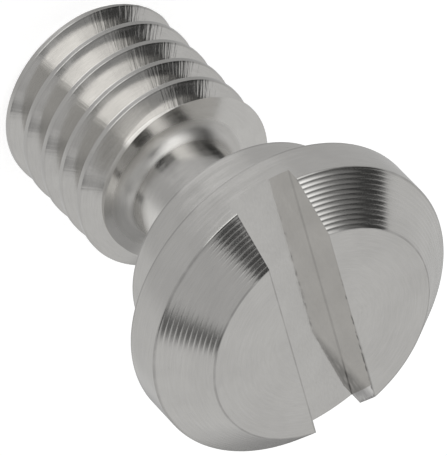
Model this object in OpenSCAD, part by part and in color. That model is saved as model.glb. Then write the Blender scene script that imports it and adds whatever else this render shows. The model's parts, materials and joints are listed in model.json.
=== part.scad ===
// Fork bleed screw, turned in one piece: slotted head, pilot boss, seal neck and threaded shank.
// It stands on its thread end. The origin is the centre of that end, +Z runs to the slotted face,
// and the screwdriver slot runs along Y. Lengths are in millimetres.

/* [Head] */
// Diameter of the rim, the widest part of the head
rim_d = 9.6; // [8.8:0.1:10.6]
// Diameter of the flat face that the slot is cut into
face_d = 7.1; // [6:0.1:8]
// Height of the sloping flank between the rim and the face
flank_h = 1.25; // [0.9:0.05:1.8]
// Height of the straight band round the rim
band_h = 1.25; // [0.9:0.05:2]
// Distance between two turned ridges on the flank, measured along its slope
ridge_pitch = 0.15; // [0.1:0.01:0.3]
// Depth of the valleys between the ridges
ridge_depth = 0.015; // [0.01:0.005:0.03]
// Width of the broken edges of the head and boss
edge_break = 0.06; // [0.03:0.01:0.12]

/* [Slot] */
// Width of the screwdriver slot
slot_w = 2; // [1.2:0.1:2.6]
// Depth of the slot below the face
slot_depth = 1.7; // [1.3:0.05:2.1]

/* [Boss] */
// Diameter of the pilot boss under the head
boss_d = 7.1; // [6.6:0.1:8]
// Height of the pilot boss
boss_h = 2; // [1.2:0.1:3]

/* [Neck] */
// Diameter of the neck that takes the seal ring
neck_d = 3.4; // [3:0.1:4]
// Height of the neck, from the top of its foot fillet to the boss
neck_h = 3; // [2:0.05:4]
// Radius of the fillet between the neck and the boss
neck_fillet = 0.3; // [0.1:0.05:0.5]
// Radius of the fillet between the neck and the flat shoulder on top of the thread
foot_fillet = 0.4; // [0.1:0.05:0.5]

/* [Thread] */
// Major diameter of the thread
thread_d = 6; // [5:0.1:6.5]
// Thread pitch
pitch = 1; // [0.7:0.05:1.25]
// Height of the thread, from the lower end to its flat shoulder
thread_h = 5; // [3.5:0.1:8]
// Width of the flat left on top of each thread turn
crest_w = 0.16; // [0.1:0.01:0.24]
// Half of the angle between the two sides of the thread groove
flank_angle = 30; // [27:1:33]
// Width of the flat at the bottom of the thread groove
root_w = 0.2; // [0.12:0.01:0.3]
// Chamfer at the lower end of the thread
tip_chamfer = 0.15; // [0.05:0.05:0.4]
// Angle that the thread is turned to about the axis
thread_turn = 0; // [0:5:355]

/* [Hidden] */
$fn = 96;
steps_per_turn = 36;
reach = 0.1;
rim_r = rim_d / 2;
face_r = face_d / 2;
boss_r = boss_d / 2;
neck_r = neck_d / 2;
thread_r = thread_d / 2;
neck_z = thread_h + foot_fillet;
boss_z = neck_z + neck_h;
rim_z = boss_z + boss_h;
flank_z = rim_z + band_h;
face_z = flank_z + flank_h;
slope_l = norm([rim_r - face_r, flank_h]);
ridges = max(2, round(slope_l / ridge_pitch));
slope_out = [flank_h, rim_r - face_r] / slope_l;
groove_w = pitch - crest_w;
groove_depth = (groove_w - root_w) / 2 / tan(flank_angle);

// Points of a quarter round from angle a0 to a0 - 90 degrees about a centre
function quarter(centre, r, a0, n = 6) =
    [for (i = [0:n]) let (t = a0 - 90 * i / n) centre + r * [cos(t), sin(t)]];

// Ridge tops lie on the flank's slope, and the valleys between them lie below it
function flank_points() =
    [for (i = [0:2 * ridges])
        let (at = [rim_r, flank_z] + [face_r - rim_r, flank_h] * i / (2 * ridges))
        at - slope_out * (i % 2) * ridge_depth];

module turned_body() {
    rotate_extrude()
        polygon(concat(
            [[0, 0], [thread_r - tip_chamfer, 0], [thread_r, tip_chamfer]],
            [[thread_r, thread_h]],
            quarter([neck_r + foot_fillet, neck_z], foot_fillet, 270),
            quarter([neck_r + neck_fillet, boss_z - neck_fillet], neck_fillet, 180),
            [[boss_r - edge_break, boss_z], [boss_r, boss_z + edge_break], [boss_r, rim_z]],
            [[rim_r - edge_break, rim_z], [rim_r, rim_z + edge_break]],
            flank_points(),
            [[0, face_z]]
        ));
}

module slot() {
    translate([-slot_w / 2, -rim_d, face_z - slot_depth])
        cube([slot_w, 2 * rim_d, slot_depth + reach]);
}

// A helical groove with sloping sides, which runs out through both ends of the thread
module thread_groove() {
    first = -steps_per_turn;
    last = ceil(thread_h / pitch * steps_per_turn) + steps_per_turn;
    outer_r = thread_r + reach;
    outer_w = groove_w + 2 * reach * tan(flank_angle);
    root_r = thread_r - groove_depth;
    section = [
        [root_r, -root_w / 2], [outer_r, -outer_w / 2],
        [outer_r, outer_w / 2], [root_r, root_w / 2]
    ];
    count = last - first + 1;
    points = [for (i = [first:last], p = section)
        let (t = 360 * i / steps_per_turn)
        [p[0] * cos(t), p[0] * sin(t), p[1] + pitch * i / steps_per_turn]];
    sides = [for (i = [0:count - 2], k = [0:3])
        let (a = 4 * i + k, b = 4 * i + (k + 1) % 4)
        each [[a, b, a + 4], [b, b + 4, a + 4]]];
    tail = 4 * count - 4;
    ends = [[0, 2, 1], [0, 3, 2], [tail, tail + 1, tail + 2], [tail, tail + 2, tail + 3]];
    rotate([0, 0, thread_turn])
        polyhedron(points, concat(sides, ends));
}

module bleed_screw() {
    color([0.67, 0.66, 0.64])
        difference() {
            turned_body();
            slot();
            thread_groove();
        }
}

bleed_screw();
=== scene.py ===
"""Fork bleed screw, dressed for rendering: one turned steel piece that stands on its thread end."""
import json
import math

import bmesh
import bpy
from mathutils import Matrix, Vector


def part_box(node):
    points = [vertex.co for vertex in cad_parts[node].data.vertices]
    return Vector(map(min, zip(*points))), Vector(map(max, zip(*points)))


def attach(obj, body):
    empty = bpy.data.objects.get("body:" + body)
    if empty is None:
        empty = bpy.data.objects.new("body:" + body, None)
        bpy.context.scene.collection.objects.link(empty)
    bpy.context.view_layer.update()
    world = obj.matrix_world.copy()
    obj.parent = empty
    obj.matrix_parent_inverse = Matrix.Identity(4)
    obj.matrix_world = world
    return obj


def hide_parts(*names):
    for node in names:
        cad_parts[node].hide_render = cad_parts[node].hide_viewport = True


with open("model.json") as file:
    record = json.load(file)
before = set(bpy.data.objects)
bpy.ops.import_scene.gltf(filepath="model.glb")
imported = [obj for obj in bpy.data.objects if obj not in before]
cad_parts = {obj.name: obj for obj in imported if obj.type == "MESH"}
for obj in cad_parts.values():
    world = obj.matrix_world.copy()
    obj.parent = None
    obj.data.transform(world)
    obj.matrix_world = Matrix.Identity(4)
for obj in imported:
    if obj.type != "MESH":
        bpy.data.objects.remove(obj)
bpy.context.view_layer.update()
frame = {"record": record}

# ---------------------------------------------------------------- sizes, in millimetres
MM = 0.001
NODE = "bleed_screw"
low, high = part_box(NODE)
MOUNTS = {mount["name"]: mount for mount in frame["record"]["mounts"]}

# From the frame
FACE_Z = high[2] / MM
RIM_R = (high[0] - low[0]) / 2 / MM
RIM_Z = MOUNTS["seat_face"]["pos_m"][2] / MM
BOSS_R = MOUNTS["boss_pilot"]["dims"]["r_mm"]
BOSS_Z = RIM_Z - MOUNTS["boss_pilot"]["dims"]["length_mm"]
NECK_R = MOUNTS["seal_neck"]["dims"]["r_mm"]
NECK_Z = BOSS_Z - MOUNTS["seal_neck"]["dims"]["length_mm"]
THREAD_R = MOUNTS["thread"]["dims"]["r_mm"]
THREAD_H = MOUNTS["thread"]["dims"]["length_mm"]

# Head
FACE_R = 3.55
BAND_H = 1.25
FLANK_Z = RIM_Z + BAND_H
EDGE_BREAK = 0.03
RIM_ROUND = 0.08
RIM_CUT = RIM_ROUND * math.tan(math.radians(45 / 2))  # from the sharp corner to where the rounding starts
RIDGE_PITCH = 0.15
RIDGE_DEPTH = 0.012
SLOT_W = 2.0
SLOT_DEPTH = 1.7
SLOT_FLOOR = FACE_Z - SLOT_DEPTH

# Neck and thread
NECK_FILLET = 0.3
FOOT_FILLET = NECK_Z - THREAD_H
PITCH = 1.0
CREST_W = 0.16
ROOT_W = 0.2
GROOVE_W = PITCH - CREST_W
FLANK_ANGLE = math.radians(30)  # from square to the axis
GROOVE_DEPTH = (GROOVE_W - ROOT_W) / 2 / math.tan(FLANK_ANGLE)
THREAD_ROUND = 0.015
TIP_CHAMFER = 0.15

# Mesh density
COLUMNS = 240
RIDGE_STEPS = 8
ROOT_ROWS, FLANK_ROWS, CREST_ROWS = 2, 7, 3
FOOT_STEPS = 12
END_RINGS = (0.8, 0.5, 0.2)  # shares of the end's radius
SHOULDER_RINGS = (0.15, 0.5, 0.85, 1)  # shares of the way in, from the thread to the fillet
MERGE_WITHIN = 1e-7  # metres


# ---------------------------------------------------------------- shape of the screw
def soft_min(a, b, width):
    """The smaller of a and b, rounded over where they meet."""
    blend = max(width - abs(a - b), 0) / width
    return min(a, b) - blend * blend * width / 4


def thread_radius(z, turn):
    """Radius of the threaded shank at height z, where turn is the angle about the axis in turns."""
    from_groove = abs((z / PITCH - turn + 0.5) % 1 - 0.5) * PITCH
    sloping = THREAD_R - GROOVE_DEPTH + (from_groove - ROOT_W / 2) / math.tan(FLANK_ANGLE)
    crest = soft_min(sloping, THREAD_R, THREAD_ROUND)
    threaded = -soft_min(-crest, GROOVE_DEPTH - THREAD_R, THREAD_ROUND)
    return min(threaded, THREAD_R - TIP_CHAMFER + z)


def thread_offsets():
    """Heights of the mesh rows in one turn of thread, from one groove's middle to the next."""
    root = [ROOT_W / 2 * i / ROOT_ROWS for i in range(ROOT_ROWS)]
    flank = [ROOT_W / 2 + (GROOVE_W - ROOT_W) / 2 * i / FLANK_ROWS for i in range(FLANK_ROWS)]
    crest = [GROOVE_W / 2 + CREST_W / 2 * i / CREST_ROWS for i in range(CREST_ROWS)]
    rising = root + flank + crest
    return rising + [PITCH - height for height in [PITCH / 2] + rising[:0:-1]]


def arc(centre_r, centre_z, size, start, end, steps=5):
    """Points of an arc from the start angle to the end angle, in degrees, with both its ends."""
    angles = [math.radians(start + (end - start) * i / steps) for i in range(steps + 1)]
    return [(centre_r + size * math.cos(angle), centre_z + size * math.sin(angle)) for angle in angles]


def between(start, end, steps):
    """Points of a straight line, without its two ends."""
    return [(start[0] + (end[0] - start[0]) * i / steps, start[1] + (end[1] - start[1]) * i / steps)
            for i in range(1, steps)]


def flank_profile():
    """Points up the head's sloping flank: shallow turned grooves with a ridge between each two."""
    start = Vector((RIM_R - RIM_CUT / math.sqrt(2), FLANK_Z + RIM_CUT / math.sqrt(2)))
    run = Vector((FACE_R, FACE_Z)) - start
    outward = Vector((run.y, -run.x)).normalized()
    steps = round(run.length / RIDGE_PITCH) * RIDGE_STEPS
    points = []
    for i in range(steps + 1):
        across = (i % RIDGE_STEPS) / RIDGE_STEPS
        dip = RIDGE_DEPTH * 4 * across * (1 - across)
        at = start + run * i / steps - outward * dip
        points.append((at.x, at.y))
    return points


def head_profile():
    """Points from the foot of the neck, up round the boss and the rim, to the middle of the face."""
    neck_top = BOSS_Z - NECK_FILLET
    fillet_r = NECK_R + NECK_FILLET
    neck = between((NECK_R, NECK_Z), (NECK_R, neck_top), 8) + arc(fillet_r, neck_top, NECK_FILLET, 180, 90)
    boss = (between((fillet_r, BOSS_Z), (BOSS_R - EDGE_BREAK, BOSS_Z), 4)
            + arc(BOSS_R - EDGE_BREAK, BOSS_Z + EDGE_BREAK, EDGE_BREAK, -90, 0)
            + between((BOSS_R, BOSS_Z), (BOSS_R, RIM_Z), 4) + [(BOSS_R, RIM_Z)])
    rim = (between((BOSS_R, RIM_Z), (RIM_R - EDGE_BREAK, RIM_Z), 4)
           + arc(RIM_R - EDGE_BREAK, RIM_Z + EDGE_BREAK, EDGE_BREAK, -90, 0)
           + between((RIM_R, RIM_Z + EDGE_BREAK), (RIM_R, FLANK_Z), 6)
           + arc(RIM_R - RIM_ROUND, FLANK_Z - RIM_CUT, RIM_ROUND, 0, 36, 4))
    return neck + boss + rim + flank_profile() + between((FACE_R, FACE_Z), (0, FACE_Z), 8)


def place(bm, radius, z, column):
    """A vertex at that radius and height, in a column of the mesh."""
    angle = 2 * math.pi * column / COLUMNS
    return bm.verts.new((radius * math.cos(angle) * MM, radius * math.sin(angle) * MM, z * MM))


def bridge(bm, below, above):
    """Faces between two closed rings."""
    for j in range(COLUMNS):
        k = (j + 1) % COLUMNS
        bm.faces.new((below[j], below[k], above[k], above[j]))


def add_ring(bm, below, radius, z):
    """A round ring, joined to the ring below it."""
    ring = [place(bm, radius, z, j) for j in range(COLUMNS)]
    bridge(bm, below, ring)
    return ring


def radii_of(ring):
    """The radius of each vertex of a ring, in millimetres."""
    return [math.hypot(vert.co.x, vert.co.y) / MM for vert in ring]


def add_thread(bm):
    """The threaded shank, in rows that follow the helix. Returns its lower and upper rings."""
    offsets = thread_offsets()
    per_turn = len(offsets)
    rows = math.ceil((NECK_Z / PITCH + 2) * per_turn)
    grid = []
    for i in range(rows):
        row = []
        for j in range(COLUMNS):
            helix = PITCH * (i // per_turn - 1 + j / COLUMNS) + offsets[i % per_turn]
            z = min(max(helix, 0), THREAD_H)
            row.append(place(bm, thread_radius(z, j / COLUMNS), z, j))
        grid.append(row)
    for i in range(rows - 1):
        for j in range(COLUMNS - 1):
            bm.faces.new((grid[i][j], grid[i][j + 1], grid[i + 1][j + 1], grid[i + 1][j]))
    for i in range(rows - per_turn - 1):
        bm.faces.new((grid[i][-1], grid[i + per_turn][0], grid[i + per_turn + 1][0], grid[i + 1][-1]))
    return grid[0], grid[-1]


def add_end(bm, ring):
    """Closes the lower ring with a flat end."""
    radii = radii_of(ring)
    for share in END_RINGS:
        inner = [place(bm, radii[j] * share, 0, j) for j in range(COLUMNS)]
        bridge(bm, inner, ring)
        ring = inner
    middle = bm.verts.new((0, 0, 0))
    for j in range(COLUMNS):
        bm.faces.new((middle, ring[(j + 1) % COLUMNS], ring[j]))


def add_shoulder(bm, ring):
    """The flat shoulder on top of the thread and the fillet from it to the neck. Returns its upper ring."""
    radii = radii_of(ring)
    foot_r = NECK_R + FOOT_FILLET
    for share in SHOULDER_RINGS:
        inner = [place(bm, radii[j] + (foot_r - radii[j]) * share, THREAD_H, j) for j in range(COLUMNS)]
        bridge(bm, ring, inner)
        ring = inner
    for radius, z in arc(foot_r, NECK_Z, FOOT_FILLET, 270, 180, FOOT_STEPS)[1:]:
        ring = add_ring(bm, ring, radius, z)
    return ring


def add_head(bm, ring):
    """The neck, boss and head, turned about the axis."""
    for radius, z in head_profile():
        ring = add_ring(bm, ring, radius, z)
    middle = bm.verts.new((0, 0, FACE_Z * MM))
    for j in range(COLUMNS):
        bm.faces.new((middle, ring[j], ring[(j + 1) % COLUMNS]))


def add_object(name, bm):
    """A new object with the finished mesh, in the scene."""
    mesh = bpy.data.meshes.new(name)
    bm.to_mesh(mesh)
    bm.free()
    thing = bpy.data.objects.new(name, mesh)
    bpy.context.collection.objects.link(thing)
    return thing


def turned_screw():
    """The whole turned piece, before the slot is cut."""
    bm = bmesh.new()
    lower, upper = add_thread(bm)
    add_end(bm, lower)
    add_head(bm, add_shoulder(bm, upper))
    bmesh.ops.remove_doubles(bm, verts=bm.verts, dist=MERGE_WITHIN)
    bmesh.ops.dissolve_degenerate(bm, edges=bm.edges, dist=MERGE_WITHIN)
    bmesh.ops.recalc_face_normals(bm, faces=bm.faces)
    return add_object("dressed_bleed_screw", bm)


def slot_cutter():
    """A long bar as wide as the slot, from its floor to past the face, and past the rim at both ends."""
    half = SLOT_W / 2
    past = 1.0
    top = FACE_Z + past
    section = [(-half, top), (-half, SLOT_FLOOR), (half, SLOT_FLOOR), (half, top)]
    bm = bmesh.new()
    near_end, far_end = ([bm.verts.new((x * MM, y * MM, z * MM)) for x, z in section]
                         for y in (-RIM_R - past, RIM_R + past))
    for j in range(len(section)):
        k = (j + 1) % len(section)
        bm.faces.new((near_end[j], near_end[k], far_end[k], far_end[j]))
    bm.faces.new(near_end)
    bm.faces.new(far_end[::-1])
    bmesh.ops.recalc_face_normals(bm, faces=bm.faces)
    return add_object("slot_cutter", bm)


def cut(piece, cutter):
    """Takes the cutter out of the piece and deletes it."""
    modifier = piece.modifiers.new("cut", "BOOLEAN")
    modifier.object = cutter
    modifier.operation = "DIFFERENCE"
    modifier.solver = "EXACT"
    graph = bpy.context.evaluated_depsgraph_get()
    cut_mesh = bpy.data.meshes.new_from_object(piece.evaluated_get(graph))
    piece.modifiers.clear()
    piece.data = cut_mesh
    bpy.data.objects.remove(cutter)


# ---------------------------------------------------------------- materials
class Nodes:
    """Short calls that add shader nodes to one node tree."""

    def __init__(self, tree):
        self.tree = tree

    def add(self, kind, inputs=None, **settings):
        """A node of that kind, with each input linked or set."""
        node = self.tree.nodes.new(kind)
        for name, value in settings.items():
            setattr(node, name, value)
        for socket, value in (inputs or {}).items():
            if isinstance(value, bpy.types.NodeSocket):
                self.tree.links.new(value, node.inputs[socket])
            else:
                node.inputs[socket].default_value = value
        return node

    def math(self, operation, a, b=0.0):
        return self.add("ShaderNodeMath", {0: a, 1: b}, operation=operation).outputs[0]

    def total(self, first, *rest):
        for value in rest:
            first = self.math("ADD", first, value)
        return first

    def product(self, first, *rest):
        for value in rest:
            first = self.math("MULTIPLY", first, value)
        return first

    def highest(self, first, *rest):
        for value in rest:
            first = self.math("MAXIMUM", first, value)
        return first

    def ramp(self, value, start, end, low=0.0, high=1.0):
        """A smooth step from low to high, as value runs from start to end."""
        return self.add("ShaderNodeMapRange", {"Value": value, "From Min": start, "From Max": end,
                                               "To Min": low, "To Max": high},
                        interpolation_type="SMOOTHSTEP").outputs["Result"]

    def near(self, value, target, width):
        """1 where value is at the target, and 0 where it is the width away."""
        return self.ramp(self.math("ABSOLUTE", self.math("SUBTRACT", value, target)), width, width / 4)

    def mix(self, share, a, b):
        return self.add("ShaderNodeMix", {0: share, 2: a, 3: b}).outputs[0]

    def mix_color(self, share, a, b):
        """A mix that can go past b, where the share is over 1."""
        return self.add("ShaderNodeMix", {0: share, 6: a, 7: b}, data_type="RGBA",
                        clamp_factor=False).outputs[2]

    def vector(self, x, y, z):
        return self.add("ShaderNodeCombineXYZ", {0: x, 1: y, 2: z}).outputs[0]

    def noise(self, vector, scale, detail=2.0, roughness=0.5):
        return self.add("ShaderNodeTexNoise", {"Vector": vector, "Scale": scale, "Detail": detail,
                                               "Roughness": roughness}).outputs["Fac"]

    def stretch(self, vector, scale):
        return self.add("ShaderNodeMapping", {"Vector": vector, "Scale": scale}).outputs["Vector"]


STEEL = (0.62, 0.61, 0.59, 1)
DARK_STEEL = (0.07, 0.065, 0.06, 1)
BLACK = (0, 0, 0, 1)

# Tones: how much lighter or darker than STEEL each place is. All but FLECK are painted light and shade.
# Where there are two, the second is for the side with the most painted shade on the crests, or the side
# with painted shade on the shoulder and painted light on the neck.
FLECK = 0.92
# Painted shade, in patches, on the slot's upper edges, the face's edge and the rim's edge
SHADED_EDGE_TONE = 0.72
# Painted shade on the lower edges of the rim and the boss
LOW_EDGE_SHADE = 0.75
# Painted shade on the thread's crests, most on one side
CREST = (0.94, 0.72)
# Painted light on the underside of the boss
UNDERSIDE_LIGHT = 1.4
# Painted light on the shoulder and its fillet, and painted shade there on one side
SHOULDER = (1.1, 0.62)
# Painted shade on the neck, and painted light on it on one side
NECK = (0.93, 1.4)
# Painted light on the slot's wall at -X
SLOT_WALL_LIGHT = 1.18
# Painted shade in the corner at the foot of that wall
SLOT_CORNER_SHADE = 0.8

# Shares of DARK_STEEL over the slot's wall
BURR = 0.95
# Painted shade in patches at the +Y end of the wall at -X
WALL_END_SHADE = (0.4, 0.75)

# Roughness
ROUGH_TURNED = 0.16
ROUGH_FLANK = 0.18
ROUGH_THREAD = 0.14
ROUGH_FOOT = 0.4
ROUGH_MILLED = 0.06

# Noise scales of the tool lines: across them per millimetre, and along them per millimetre, or per
# radian round the turned ones
FINE_LINES = (26.0, 6.0)
COARSE_LINES = (7.0, 2.5)

# Relief: a depth in metres, and what it is multiplied by for each kind of mark. The second chatter
# depth is for the thread's CHATTER_SIDE.
RELIEF = 0.6e-6
LINES_DEPTH = 0.6
GRAIN_DEPTH = 0.5
CHATTER_DEPTH = (4.0, 20.0)

# Directions, in x and y, of the sides of the screw where the steel looks different: painted light and shade
# on the first two, deeper chatter marks on the third
# The side with painted shade on the shoulder and painted light on the neck
SHADE_AND_LIGHT_SIDE = (0.97, 0.24)
# The side where the crests get the most painted shade
SHADED_CREST_SIDE = (-0.515, -0.857)
CHATTER_SIDE = (-0.59, -0.81)

ON_FACE = 0.03  # a point this near a flat face, in millimetres, is on it


class Surface:
    """Where a point of the screw is, in millimetres, as nodes that a material's masks are made from."""

    def __init__(self, n):
        self.n = n
        self.spot = n.add("ShaderNodeTexCoord").outputs["Object"]
        split = n.add("ShaderNodeSeparateXYZ", {0: self.spot})
        self.x, self.y, self.z = (n.math("DIVIDE", split.outputs[axis], MM) for axis in "XYZ")
        self.radius = n.math("SQRT", n.total(n.product(self.x, self.x), n.product(self.y, self.y)))
        self.in_mm = n.stretch(self.spot, (1 / MM, 1 / MM, 1 / MM))
        self.cosine = n.math("DIVIDE", self.x, self.radius)
        self.sine = n.math("DIVIDE", self.y, self.radius)

    def facing(self, side):
        """1 where the point is on that side of the screw, down to -1 on the opposite side."""
        along = self.n.total(self.n.product(self.x, side[0]), self.n.product(self.y, side[1]))
        return self.n.math("DIVIDE", along, self.radius)

    def below_top(self):
        """How far the point is below the face and the flank."""
        slope = self.n.highest(self.n.math("SUBTRACT", self.radius, FACE_R), 0.0)
        return self.n.math("SUBTRACT", self.n.math("SUBTRACT", FACE_Z, slope), self.z)

    def lines(self, turned, across, along):
        """Noise that is fine across the tool's marks and long along them: rings, or lines along Y."""
        n = self.n
        if turned:
            spot = n.vector(n.product(self.radius, across), n.product(self.z, across),
                            n.product(self.cosine, along))
            fourth = n.product(self.sine, along)
        else:
            spot = n.stretch(self.in_mm, (across, along, across))
            fourth = 0.0
        return n.add("ShaderNodeTexNoise", {"Vector": spot, "W": fourth, "Scale": 1.0, "Detail": 2.0},
                     noise_dimensions="4D").outputs["Fac"]

    def shaded_edges(self):
        """The slot's two upper edges, the edge of the face and the edge of the rim, in patches: painted
        shade that dims their highlight lines.
        """
        n = self.n
        top = self.below_top()
        left = n.product(n.near(self.x, SLOT_W / 2, 0.06), n.ramp(top, 0.05, 0.01))
        right = n.product(n.near(self.x, -SLOT_W / 2, 0.05), n.ramp(top, 0.09, 0.03),
                          n.ramp(self.y, -0.5, 2.5))
        face = n.product(n.near(self.radius, FACE_R, 0.05), n.ramp(self.z, FACE_Z - 0.06, FACE_Z - 0.02))
        rim = n.product(n.near(self.z, FLANK_Z, 0.06), n.ramp(self.radius, RIM_R - 0.2, RIM_R - 0.1))
        in_patches = n.ramp(n.noise(self.in_mm, 2.5), 0.3, 0.6, 0.6, 1.0)
        return n.product(n.highest(left, right, face, rim), in_patches)

    def low_edge(self, radius, z):
        """The lower edge of a turned step."""
        return self.n.product(self.n.near(self.z, z, 0.1),
                              self.n.ramp(self.radius, radius - 0.1, radius - 0.05))

    def on_foot_fillet(self):
        """The fillet from the shoulder to the neck."""
        n = self.n
        fillet_r = NECK_R + FOOT_FILLET
        return n.product(n.ramp(self.z, NECK_Z + 0.1, NECK_Z - 0.1),
                         n.ramp(self.radius, fillet_r + 0.15, fillet_r - 0.05))

    def turned_tones(self):
        """Tones of the turned faces alone: crests, edges, the underside, the shoulder and the neck."""
        n = self.n
        shade_and_light_side = self.facing(SHADE_AND_LIGHT_SIDE)
        on_crest = n.product(n.ramp(self.z, THREAD_H + 0.02, THREAD_H - 0.02),
                             n.ramp(self.radius, THREAD_R - 0.06, THREAD_R - 0.02))
        low_edges = n.highest(self.low_edge(RIM_R, RIM_Z), self.low_edge(BOSS_R, BOSS_Z))
        underside = n.product(n.near(self.z, BOSS_Z, ON_FACE),
                              n.ramp(self.radius, BOSS_R - 0.06, BOSS_R - 0.12))
        on_shoulder = n.highest(n.near(self.z, THREAD_H, ON_FACE), self.on_foot_fillet())
        on_neck = n.product(n.ramp(self.radius, NECK_R + 0.2, NECK_R + 0.05),
                            n.ramp(self.z, THREAD_H, THREAD_H + 0.3), n.ramp(self.z, BOSS_Z, BOSS_Z - 0.2))
        # Painted shade on the crests and lower edges, painted light on the underside, and both on the
        # shoulder and the neck
        return (n.mix(on_crest, 1.0, n.ramp(self.facing(SHADED_CREST_SIDE), 0.8, 1.0, *CREST)),
                n.mix(low_edges, 1.0, LOW_EDGE_SHADE),
                n.mix(underside, 1.0, UNDERSIDE_LIGHT),
                n.mix(on_shoulder, 1.0, n.ramp(shade_and_light_side, 0.7, 0.95, *SHOULDER)),
                n.mix(on_neck, 1.0, n.ramp(shade_and_light_side, 0.4, 0.8, *NECK)))

    def on_wall(self):
        """The slot's wall at -X."""
        return self.n.near(self.x, -SLOT_W / 2, ON_FACE)

    def slot_tones(self):
        """Tones of the slot alone: painted light on its wall at -X, and painted shade in the corner at that
        wall's foot.
        """
        n = self.n
        # Painted light on the wall, and painted shade in its corner
        wall = n.product(self.on_wall(), n.ramp(self.below_top(), 0.02, 0.05))
        corner = n.product(n.near(self.x, -SLOT_W / 2, 0.05), n.near(self.z, SLOT_FLOOR, 0.05))
        return n.mix(wall, 1.0, SLOT_WALL_LIGHT), n.mix(corner, 1.0, SLOT_CORNER_SHADE)

    def slot_burr_and_shade(self):
        """Specks of burr along the top of the wall at -X, and painted shade in patches at its +Y end."""
        n = self.n
        burr = n.product(self.on_wall(), n.ramp(self.below_top(), 0.13, 0.07), n.ramp(self.y, -2.5, 0.0),
                         n.ramp(n.noise(self.in_mm, 5.0, 1.0), 0.49, 0.53), BURR)
        # Painted shade in patches at the wall's +Y end
        wall_end_shade = n.product(self.on_wall(), n.ramp(self.y, 3.0, 3.9),
                           n.ramp(n.noise(self.in_mm, 3.0), 0.3, 0.6, *WALL_END_SHADE))
        return n.highest(burr, wall_end_shade)

    def turned_roughness(self):
        """Smooth turned faces, and a rougher fillet at the foot of the neck."""
        n = self.n
        on_thread = n.ramp(self.z, THREAD_H + 0.02, THREAD_H - 0.02)
        on_flank = n.ramp(self.z, FLANK_Z, FLANK_Z + 0.05)
        rough = n.mix(on_thread, n.mix(on_flank, ROUGH_TURNED, ROUGH_FLANK), ROUGH_THREAD)
        return n.mix(self.on_foot_fillet(), rough, ROUGH_FOOT)

    def chatter(self):
        """Marks across the thread, each about as long as a flank."""
        n = self.n
        around = n.vector(self.cosine, self.sine, n.product(self.z, 0.06))
        root_r = THREAD_R - GROOVE_DEPTH
        return n.product(n.noise(around, 30.0), n.ramp(self.z, THREAD_H - 0.02, THREAD_H - 0.06),
                         n.ramp(self.facing(CHATTER_SIDE), 0.8, 0.95, *CHATTER_DEPTH),
                         n.ramp(self.radius, root_r - 0.1, root_r))


def steel(name, turned):
    """Bright machined steel. Turned steel has rings about the axis, and milled steel has lines along Y."""
    material = bpy.data.materials.new(name)
    material.use_nodes = True
    n = Nodes(material.node_tree)
    shader = material.node_tree.nodes["Principled BSDF"]
    surface = Surface(n)
    grain = n.noise(surface.in_mm, 16.0, 3.0, 0.6)
    cloud = n.noise(surface.in_mm, 0.9)
    fleck = n.ramp(n.noise(surface.in_mm, 9.0, 2.0, 0.6), 0.70, 0.74)
    fine = surface.lines(turned, *FINE_LINES)
    coarse = surface.lines(turned, *COARSE_LINES)

    # Painted shade and painted light are among these factors
    shade = n.product(n.ramp(cloud, 0.3, 0.7, 0.965, 1.02), n.ramp(fine, 0.3, 0.7, 0.975, 1.02),
                      n.mix(fleck, 1.0, FLECK), n.mix(surface.shaded_edges(), 1.0, SHADED_EDGE_TONE),
                      *(surface.turned_tones() if turned else surface.slot_tones()))
    color = n.mix_color(shade, BLACK, STEEL)
    # Burr specks, and painted shade at the wall's +Y end
    if not turned:
        color = n.mix_color(surface.slot_burr_and_shade(), color, DARK_STEEL)

    rough = n.total(surface.turned_roughness() if turned else ROUGH_MILLED,
                    n.ramp(coarse, 0.3, 0.7, -0.03, 0.04), n.ramp(grain, 0.4, 0.7, 0.0, 0.03))

    relief = n.total(n.product(fine, LINES_DEPTH), n.product(grain, GRAIN_DEPTH))
    if turned:
        relief = n.total(relief, surface.chatter())
    bump = n.add("ShaderNodeBump", {"Height": relief, "Strength": 1.0, "Distance": RELIEF}).outputs[0]

    shader.inputs["Metallic"].default_value = 1
    sockets = {"Base Color": color, "Roughness": rough, "Normal": bump}
    if turned:
        shader.inputs["Anisotropic"].default_value = 0.7
        shader.inputs["Anisotropic Rotation"].default_value = 0.25
        sockets["Tangent"] = n.add("ShaderNodeTangent", direction_type="RADIAL", axis="Z").outputs[0]
    for socket, value in sockets.items():
        material.node_tree.links.new(value, shader.inputs[socket])
    return material


# ---------------------------------------------------------------- the dressed screw
SHARP_FROM = math.radians(35)

screw = turned_screw()
cutter = slot_cutter()
STEELS = [steel("turned_steel", turned=True), steel("milled_steel", turned=False)]
for index, piece in enumerate((screw, cutter)):
    for material in STEELS:
        piece.data.materials.append(material)
    for face in piece.data.polygons:
        face.material_index = index
cut(screw, cutter)
screw.data.shade_smooth()
screw.data.set_sharp_from_angle(angle=SHARP_FROM)
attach(screw, "root")
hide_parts(NODE)

# ---------------------------------------------------------------- view, in the photograph's frame
AXIS = Vector((0, 0, 1))
VIEW_AZIMUTH = math.radians(-71)
VIEW_FROM_AXIS = math.radians(48.54)
ROLL = math.radians(46.31)
IMAGE_W = 447
IMAGE_H = 456
FACE_X = 322.66  # pixels from the image's left and top to the middle of the face
FACE_Y = 334.15
FOCAL_PX = 10750.5
PX_PER_MM = 35.6
SENSOR_MM = 36
CLIP_M = (0.01, 10)


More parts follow.
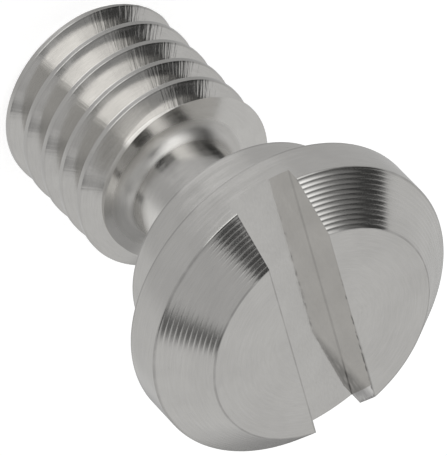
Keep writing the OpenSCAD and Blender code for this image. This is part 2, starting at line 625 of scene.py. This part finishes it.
def add_camera():
    """The camera at the photograph's viewing angle, distance and frame."""
    toward = Vector((math.cos(VIEW_AZIMUTH), math.sin(VIEW_AZIMUTH), 0))
    side = AXIS.cross(toward)
    tilt_s, tilt_c = math.sin(VIEW_FROM_AXIS), math.cos(VIEW_FROM_AXIS)
    roll_s, roll_c = math.sin(ROLL), math.cos(ROLL)
    right = -tilt_c * roll_c * toward - roll_s * side + tilt_s * roll_c * AXIS
    down = -tilt_c * roll_s * toward + roll_c * side + tilt_s * roll_s * AXIS
    forward = -tilt_s * toward - tilt_c * AXIS
    face = Vector((0, 0, FACE_Z))
    offset = (FACE_X - IMAGE_W / 2) * right + (FACE_Y - IMAGE_H / 2) * down + FOCAL_PX * forward
    camera = bpy.data.objects.new("camera", bpy.data.cameras.new("camera"))
    camera.data.sensor_fit = "HORIZONTAL"
    camera.data.sensor_width = SENSOR_MM
    camera.data.lens = SENSOR_MM * FOCAL_PX / IMAGE_W
    camera.data.clip_start, camera.data.clip_end = CLIP_M
    turn = Matrix((right, -down, -forward)).transposed().to_4x4()
    camera.matrix_world = Matrix.Translation((face - offset / PX_PER_MM) * MM) @ turn
    bpy.context.collection.objects.link(camera)
    bpy.context.scene.camera = camera


# ---------------------------------------------------------------- studio
# The soft boxes and dark cards round the screw, as parts of the world. Azimuth is measured about the
# screw's axis from the camera's side, and height above the horizon, both in degrees. Each card has start
# and end azimuth, bottom and top height, softness of its sides and of its top and bottom, lean, and
# level, where 1 is white. Lean is how far its sides shift in azimuth for each degree above LEAN_FROM.
# A later card covers an earlier one.
WALL_LEVEL = 0.66
LEAN_FROM = 20.0
CARDS = {
    "floor": (-400, 400, -100, -28, 8, 8, 0, 0.54),
    "floor_front": (-62, -14, -100, -28, 16, 8, 0, 0.62),
    "floor_right": (68, 156, -100, -28, 20, 8, 0, 0.65),
    "low_box": (-75, 5, -78, -53, 10, 8, 0, 1.2),
    "ceiling": (-400, 400, 60, 100, 8, 16, 0, 0.46),
    "light_side": (76, 300, -28, 66, 10, 10, 0, 0.68),
    "far_dark": (154, 200, -40, 4, 26, 14, 0, 0.34),
    "grey_wall": (8, 66, 0, 84, 8, 8, 0, 0.52),
    "strip": (62, 80, -2, 60, 12, 12, 0.35, 0.15),
    "box": (-64, 8, -24, 28, 22, 5, 0, 1.6),
    "box_low": (-38, 12, -30, 2, 14, 6, 0, 1.85),
    "upper_wall": (-96, -30, 48, 84, 8, 8, 0, 0.30),
    "box_top": (-62, -32, 22, 48, 24, 6, 0, 1.6),
    "front_wall": (-36, 10, 50, 84, 8, 6, 0, 0.48),
    "dark_card": (-117, -87, -8, 64, 5, 10, -0.25, 0.05),
    "dark_card_edge": (-94, -76, -8, 56, 14, 10, 0, 0.2),
    "camera_body": (-29, 12, 33, 49, 6, 4, 0, 0.06),
    "camera_arm": (-13, 8, 4, 74, 4, 8, 0, 0.07),
}

WHITE = (1, 1, 1, 1)
FLOOR_RADIUS_M = 0.4
FLOOR_COLOR = (0.8, 0.8, 0.8, 1)
FLOOR_ROUGHNESS = 0.9
FLOOR_GLOW = 0.66  # for camera rays alone, to bring the pale floor up to the white background


def window(n, value, start, end, soft):
    """1 from start to end, with soft sides."""
    return n.product(n.ramp(value, start - soft / 2, start + soft / 2),
                     n.ramp(value, end + soft / 2, end - soft / 2))


def add_studio():
    """The world: the cards light the screw, and camera rays see white."""
    world = bpy.data.worlds.new("studio")
    world.use_nodes = True
    bpy.context.scene.world = world
    n = Nodes(world.node_tree)
    direction = n.add("ShaderNodeTexCoord").outputs["Generated"]
    turned = n.add("ShaderNodeVectorRotate", {"Vector": direction, "Angle": -VIEW_AZIMUTH},
                   rotation_type="Z_AXIS")
    split = n.add("ShaderNodeSeparateXYZ", {0: turned.outputs[0]})
    azimuth = n.math("DEGREES", n.math("ARCTAN2", split.outputs["Y"], split.outputs["X"]))
    height = n.math("DEGREES", n.math("ARCSINE", split.outputs["Z"]))
    level = WALL_LEVEL
    for start, end, bottom, top, side_soft, end_soft, lean, card_level in CARDS.values():
        across = azimuth
        if lean:
            across = n.math("SUBTRACT", azimuth, n.product(n.math("SUBTRACT", height, LEAN_FROM), lean))
        card = n.product(window(n, across, start, end, side_soft), window(n, height, bottom, top, end_soft))
        level = n.mix(card, level, card_level)
    seen = n.add("ShaderNodeLightPath").outputs["Is Camera Ray"]
    background = world.node_tree.nodes["Background"]
    background.inputs["Color"].default_value = WHITE
    world.node_tree.links.new(n.mix(seen, level, 1.0), background.inputs["Strength"])


def add_floor():
    """The plain pale floor. The steel doesn't mirror it, because the cards stand for the floor there."""
    bm = bmesh.new()
    bmesh.ops.create_circle(bm, cap_ends=True, radius=FLOOR_RADIUS_M, segments=64)
    floor = add_object("studio_floor", bm)
    material = bpy.data.materials.new("studio_floor")
    material.use_nodes = True
    n = Nodes(material.node_tree)
    shader = material.node_tree.nodes["Principled BSDF"]
    shader.inputs["Base Color"].default_value = FLOOR_COLOR
    shader.inputs["Roughness"].default_value = FLOOR_ROUGHNESS
    shader.inputs["Specular IOR Level"].default_value = 0
    shader.inputs["Emission Color"].default_value = WHITE
    seen = n.add("ShaderNodeLightPath").outputs["Is Camera Ray"]
    material.node_tree.links.new(n.product(seen, FLOOR_GLOW), shader.inputs["Emission Strength"])
    floor.data.materials.append(material)
    floor.visible_glossy = False


add_camera()
add_studio()
add_floor()
bpy.context.scene.view_settings.view_transform = "Standard"
